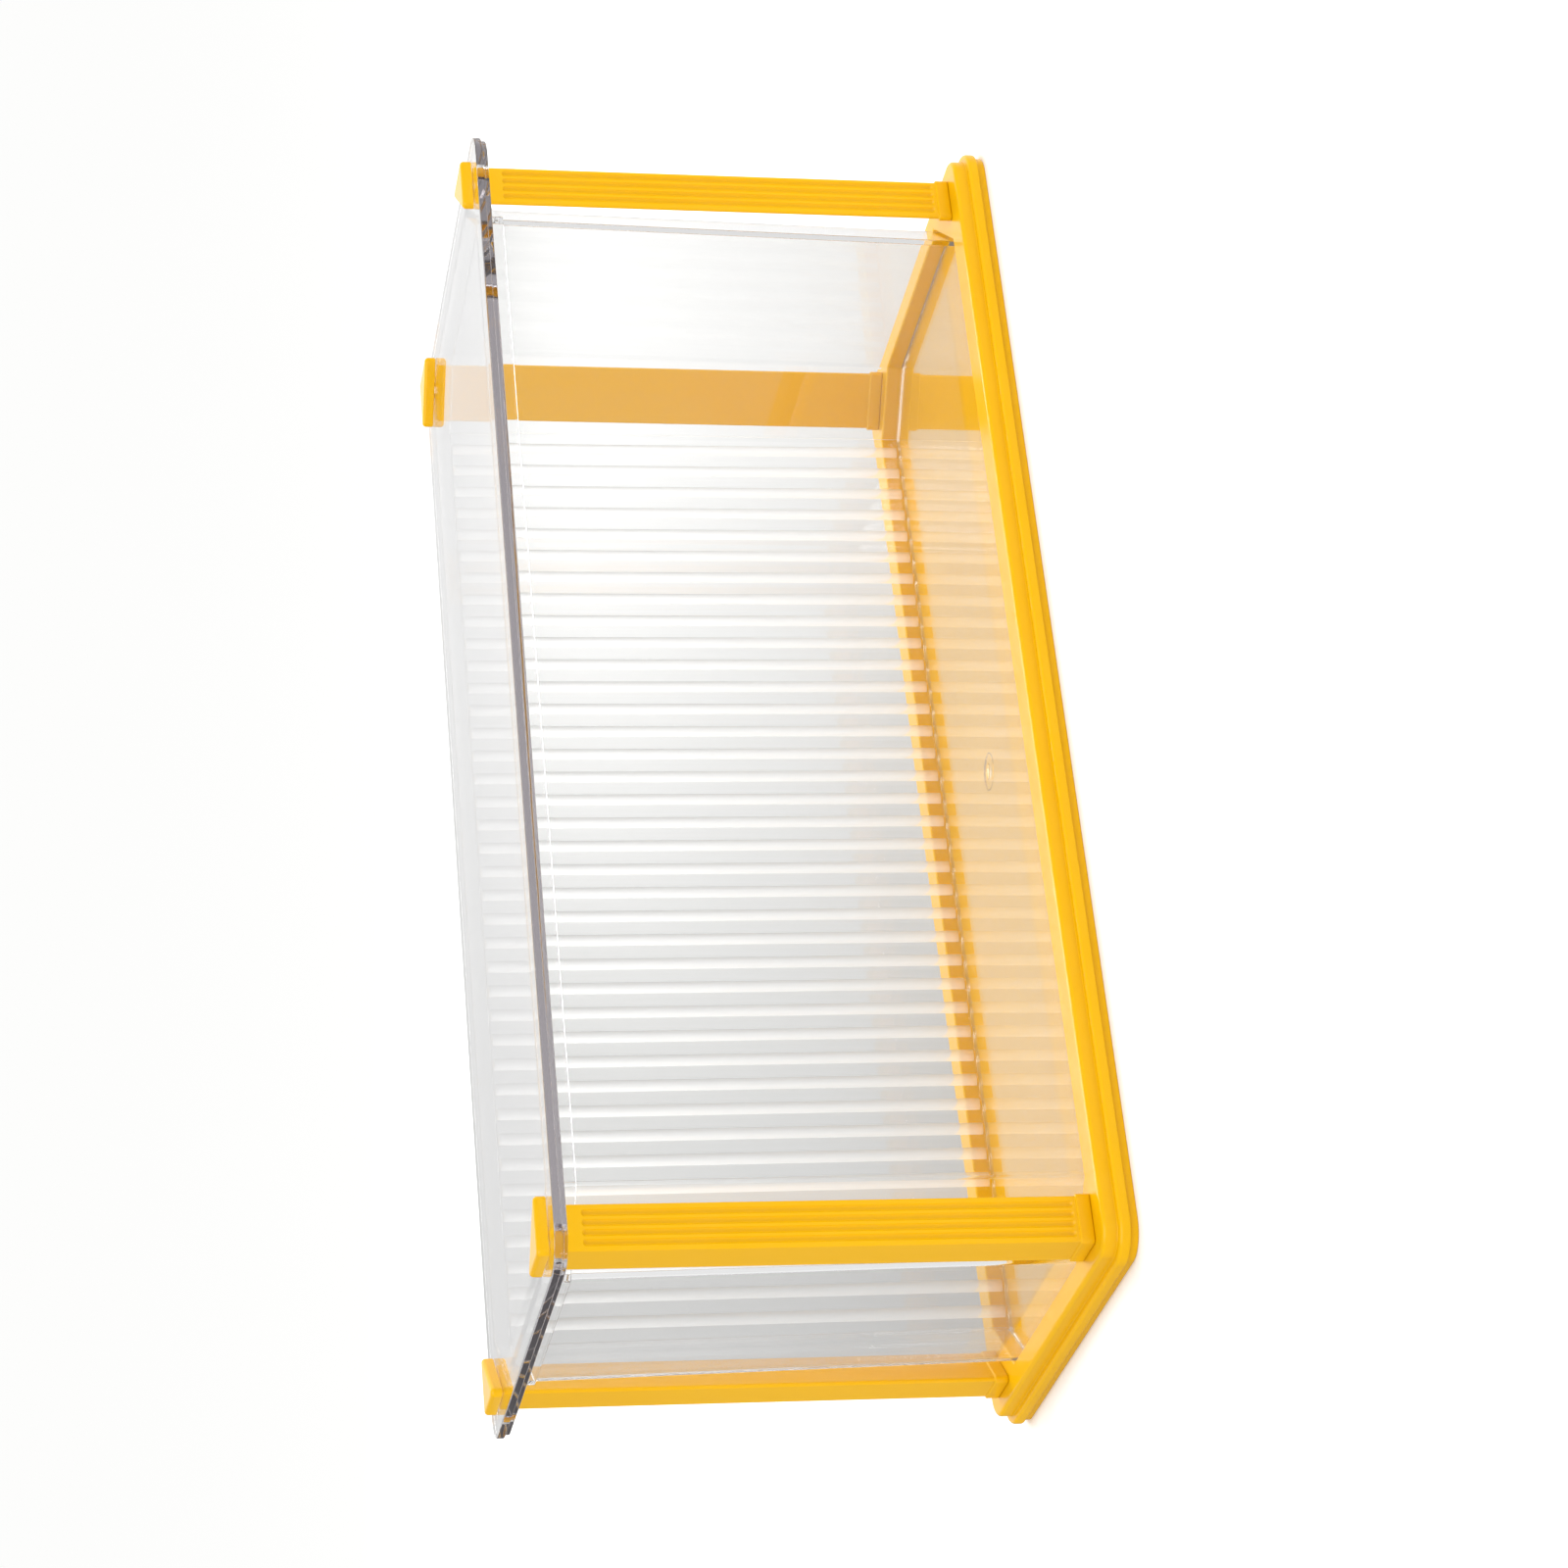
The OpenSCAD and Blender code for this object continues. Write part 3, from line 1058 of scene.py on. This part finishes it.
    def _gate_profile(self, bottom: float) -> list[Point]:
        """Draws the ring round the sprue pad.

        Args:
            bottom: The height of the underside.

        Returns:
            Pairs of radius and height, ending at its pip.
        """
        deep = bottom + self.gate_depth
        return soften(
            [
                (self.gate_r, bottom),
                (self.gate_r - 0.15, deep),
                (self.gate_pip_r + 0.5, deep),
                (self.gate_pip_r, bottom + 0.12),
                (0.4, bottom + 0.05),
            ],
            [0.15, 0.3, 0.1],
        )

    def dress(self, piece: bpy.types.Object, finish: bpy.types.Material) -> None:
        """Gives the tub its finishes, body and CAD part."""
        settle(piece, finish, "tub", "clear_tub")
        piece.data.materials.append(self.reed_finish.build())


@dataclass
class Lid:
    """The clear lid: one plate with two steps in its edge and four peg holes."""

    plan: CasePlan
    low_t: float = 1.4
    low_inset: float = 0.8
    edge_r: float = 0.25
    step_r: float = 0.1
    hole_r: float = 2.4
    hole_bevel: float = 0.2

    def build(self) -> bpy.types.Object:
        """Returns the lid as one closed moulding."""
        plan, edge = self.plan, self.edge_r
        low, top, step = plan.lid_z + SEAM, plan.lid_top, plan.lid_z + self.low_t
        body = Moulding()
        inset = self.low_inset
        line = soften(
            [(inset + 1, low), (inset, low), (inset, step), (0, step), (0, top), (1, top)],
            [edge, self.step_r, edge, edge],
        )
        under, upper = body.stack(plan.slab(), line)
        under_holes, upper_holes = [], []
        for corner in Corner:
            body.place = plan.at_corner(corner)
            bevel = self.hole_bevel
            rim = self.hole_r + bevel
            bore = [(rim, low), (self.hole_r, low + bevel), (self.hole_r, top - bevel), (rim, top)]
            first, last = body.bore(plan.post_core, plan.post_core, bore)
            under_holes.append(first)
            upper_holes.append(last)
        body.place = None
        body.plate(under, under_holes)
        body.plate(upper, upper_holes)
        return body.cast("lid_plate", crease=50)

    def dress(self, piece: bpy.types.Object, finish: bpy.types.Material) -> None:
        """Gives the lid its finish, body and CAD part."""
        settle(piece, finish, "lid", "lid")


@dataclass
class CornerCap:
    """One three-sided cap with soft edges, and the peg under it."""

    plan: CasePlan
    corner: Corner
    grow: float = 1.2
    upright_r: float = 1.3
    top_r: float = 1.0
    low_r: float = 0.3
    peg_r: float = 2.25
    peg_bevel: float = 0.5

    def build(self) -> bpy.types.Object:
        """Returns the cap and its peg as one closed moulding."""
        plan, grow = self.plan, self.grow
        low, top = plan.lid_top + SEAM, plan.cap_top
        body = Moulding(plan.at_corner(self.corner))
        line = soften(
            [(0.8 - grow, low), (-grow, low), (-grow, top), (1.8 - grow, top)],
            [self.low_r, self.top_r],
            steps=6,
        )
        outline = Outline(plan.post_outline(0).corners, self.upright_r - grow, steps=8)
        under, upper = body.stack(outline, line)
        body.close(upper)
        core, tip = plan.post_core, plan.peg_low
        peg = [(self.peg_r, low), (self.peg_r, tip + self.peg_bevel), (self.peg_r - self.peg_bevel, tip)]
        mouth, end = body.bore(core, core, peg)
        body.plate(under, [mouth])
        body.close(end)
        return body.cast(f"cap_moulding_{self.corner.label}")

    def dress(self, piece: bpy.types.Object, finish: bpy.types.Material) -> None:
        """Gives the cap its finish, body and CAD part."""
        name = f"cap_{self.corner.label}"
        settle(piece, finish, name, name)


def settle(piece: bpy.types.Object, finish: bpy.types.Material, body: str, node: str) -> None:
    """Dresses a piece and ties it to the frame.

    Args:
        piece: The moulding.
        finish: Its material.
        body: The body that it rides on.
        node: The CAD part that it stands for.
    """
    piece.data.materials.append(finish)
    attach(piece, body)
    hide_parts(node)
    LOG.info("%s: %d faces, on %s", piece.name, len(piece.data.polygons), body)


# ------------------------------------------------------------------------------------ the studio


@dataclass
class Softbox:
    """One soft rectangular light that looks at a point of the case."""

    name: str
    spot: tuple[float, float, float]
    size: tuple[float, float]
    power: float
    colour: str = "#FFFFFF"

    def build(self, aim: Vector) -> bpy.types.Object:
        """Hangs the light, which is seen neither directly nor in a mirror.

        Args:
            aim: The point that it faces.

        Returns:
            The light.
        """
        data = bpy.data.lights.new(self.name, "AREA")
        data.shape = "RECTANGLE"
        data.size, data.size_y = self.size
        data.energy = self.power
        data.color = linear(self.colour)[:3]
        light = bpy.data.objects.new(self.name, data)
        light.location = self.spot
        light.rotation_euler = (aim - Vector(self.spot)).to_track_quat("-Z", "Y").to_euler()
        light.visible_camera = False
        light.visible_glossy = False
        bpy.context.scene.collection.objects.link(light)
        return light


@dataclass
class Studio:
    """A pale floor, soft lights and the camera."""

    azimuth: float = 29.0
    elevation: float = 11.57
    roll: float = 0.21
    distance_mm: float = 1063.0
    lens_mm: float = 94.3
    aim_mm: tuple[float, float, float] = (-3.45, 0.0, 58.95)
    floor_size: float = 60.0
    sky: str = "#FFFFFF"
    sky_seen: float = 1.02
    sky_through: float = 0.68
    sky_light: float = 0.76
    sky_dark: float = 0.2
    sky_bright: float = 1.08
    side_glow: float = 7.0
    side_through: float = 0.35
    glow_depth: float = 1.5
    side_way: tuple[float, float, float] = (0.87, -0.5, -0.15)
    side_from: float = 0.9
    bright_side: tuple[float, float, float] = (0.8, 0.58, 0.12)
    bright_from: float = 0.45
    back_side: tuple[float, float, float] = (0.35, 0.94, 0.0)
    back_from: float = -0.3
    sun_power: float = 1.2
    sun_width: float = 60.0
    sun_turn: tuple[float, float, float] = (38.0, 0.0, -32.0)
    light_bounces: int = 32

    def build(self) -> None:
        """Makes the floor, the sky, the lights and the camera."""
        self._floor()
        self._sky()
        aim = Vector(self.aim_mm) * MM
        for box in self._lights():
            box.build(aim)
        self._top_light()
        self._camera(aim)
        settings = bpy.context.scene.view_settings
        settings.view_transform = "Standard"
        settings.look = "None"
        cycles = bpy.context.scene.cycles
        cycles.max_bounces = self.light_bounces
        cycles.glossy_bounces = self.light_bounces
        cycles.transmission_bounces = self.light_bounces
        cycles.transparent_max_bounces = self.light_bounces

    def _lights(self) -> list[Softbox]:
        """Returns the soft lights: one at each side of the camera, and one over the floor behind the case."""
        return [
            Softbox("softbox_right", (1.5, -0.9, 0.7), (0.4, 1.2), 7.0),
            Softbox("softbox_left", (-1.6, -0.6, 0.5), (0.2, 1.2), 4.0),
            Softbox("softbox_behind", (0.5, 0.6, 0.8), (0.9, 0.9), 11.0),
        ]

    def _top_light(self) -> None:
        """Hangs one wide, even light over the whole floor, leaning to the front."""
        data = bpy.data.lights.new("top_light", "SUN")
        data.energy = self.sun_power
        data.angle = math.radians(self.sun_width)
        light = bpy.data.objects.new("top_light", data)
        light.rotation_euler = [math.radians(angle) for angle in self.sun_turn]
        bpy.context.scene.collection.objects.link(light)

    def _floor(self) -> None:
        """Lays the pale floor."""
        half = self.floor_size / 2
        corners = [(-half, -half, 0), (half, -half, 0), (half, half, 0), (-half, half, 0)]
        data = bpy.data.meshes.new("floor_board")
        data.from_pydata(corners, [], [(0, 1, 2, 3)])
        data.materials.append(PaleBoard().build())
        floor = bpy.data.objects.new("floor_board", data)
        floor.visible_glossy = False
        bpy.context.scene.collection.objects.link(floor)

    def _sky(self) -> None:
        """Makes the surround: white where it is seen, softer as a light, and mostly dark in mirrors.

        Upright gloss faces mirror one bright stretch at the right, which draws the flutes. Only a
        first reflection shows it, so that light caught in the clear plates doesn't flare.
        """
        world = bpy.data.worlds.new("white_surround")
        bpy.context.scene.world = world
        world.use_nodes = True
        tree = world.node_tree
        tree.nodes.clear()
        colour = linear(self.sky)
        ray = add(tree, "ShaderNodeLightPath")
        behind = self._glow(tree, self.bright_side, self.bright_from, (self.sky_dark, self.sky_bright))
        beside = self._glow(tree, self.side_way, self.side_from, (0.0, self.side_glow))
        first = add(
            tree, "ShaderNodeMath", {0: ray.outputs["Ray Depth"], 1: self.glow_depth}, operation="LESS_THAN"
        )
        flare = add(tree, "ShaderNodeMath", {0: beside, 1: first.outputs["Value"]}, operation="MULTIPLY")
        glow = add(tree, "ShaderNodeMath", {0: behind, 1: flare.outputs["Value"]}, operation="ADD")
        mirrored = add(tree, "ShaderNodeBackground", {"Color": colour, "Strength": glow.outputs["Value"]})
        surround = mirrored.outputs["Background"]
        beyond = self._glow(tree, self.back_side, self.back_from, (self.sky_dark, self.sky_through))
        faint = self._glow(tree, self.side_way, self.side_from, (0.0, self.side_through))
        through = add(tree, "ShaderNodeMath", {0: beyond, 1: faint}, operation="ADD")
        for kind, strength in (
            ("Is Diffuse Ray", self.sky_light),
            ("Is Transmission Ray", through.outputs["Value"]),
            ("Is Camera Ray", self.sky_seen),
        ):
            plain = add(tree, "ShaderNodeBackground", {"Color": colour, "Strength": strength})
            both = add(
                tree,
                "ShaderNodeMixShader",
                {"Fac": ray.outputs[kind], 1: surround, 2: plain.outputs["Background"]},
            )
            surround = both.outputs["Shader"]
        add(tree, "ShaderNodeOutputWorld", {"Surface": surround})
        world.cycles.sampling_method = "NONE"

    def _glow(
        self, tree: bpy.types.NodeTree, side: tuple[float, float, float], start: float, reach: Point
    ) -> bpy.types.NodeSocket:
        """Adds a light that grows towards one side of the surround.

        Args:
            tree: The surround's node tree.
            side: The way to the brightest side.
            start: The cosine of the angle from that side at which it starts to grow.
            reach: Its strength at the start and at the brightest side.

        Returns:
            The socket with its strength.
        """
        way = add(tree, "ShaderNodeTexCoord").outputs["Generated"]
        towards = add(
            tree, "ShaderNodeVectorMath", {0: way, 1: Vector(side).normalized()}, operation="DOT_PRODUCT"
        )
        growth = {"Value": towards.outputs["Value"], "From Min": start, "To Min": reach[0], "To Max": reach[1]}
        return add(tree, "ShaderNodeMapRange", growth).outputs["Result"]

    def _camera(self, aim: Vector) -> None:
        """Sets the camera, lying on its side so that the case's top points to the left of the frame.

        Args:
            aim: The point in the middle of the frame.
        """
        side, rise = math.radians(self.azimuth), math.radians(self.elevation)
        ahead = Vector((math.sin(side) * math.cos(rise), math.cos(side) * math.cos(rise), -math.sin(rise)))
        right = Vector((math.cos(side), -math.sin(side), 0.0))
        up = right.cross(ahead)
        lean = math.radians(self.roll)
        right, up = (
            right * math.cos(lean) + up * math.sin(lean),
            up * math.cos(lean) - right * math.sin(lean),
        )
        data = bpy.data.cameras.new("camera")
        data.sensor_width = 36.0
        data.lens = self.lens_mm
        data.clip_end = 200.0
        camera = bpy.data.objects.new("camera", data)
        turn = Matrix((-up, right, -ahead)).transposed().to_4x4()
        camera.matrix_world = Matrix.Translation(aim - ahead * self.distance_mm * MM) @ turn
        bpy.context.scene.collection.objects.link(camera)
        bpy.context.scene.camera = camera


# -------------------------------------------------------------------------------------- the case


def main() -> None:
    """Builds and dresses the case, then the studio round it."""
    logging.basicConfig(level=logging.INFO, format="%(name)s: %(message)s")
    Studio().build()
    plan = CasePlan.read()
    abs_finish = GlossAbs().build()
    clear_finish = ClearStyrene().build()
    plate_finish = ClearStyrene("clear_styrene_plate", edge_density=9.0).build()
    parts = [
        (BaseTray(plan), abs_finish),
        *((Column(plan, corner), abs_finish) for corner in Corner),
        (ClearTub(plan), clear_finish),
        (Lid(plan), plate_finish),
        *((CornerCap(plan, corner), abs_finish) for corner in Corner),
    ]
    for part, finish in parts:
        part.dress(part.build(), finish)
    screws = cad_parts["post_screws"]
    screws.data.materials.clear()
    screws.data.materials.append(ZincSteel().build())


if __name__ == "__main__":
    main()
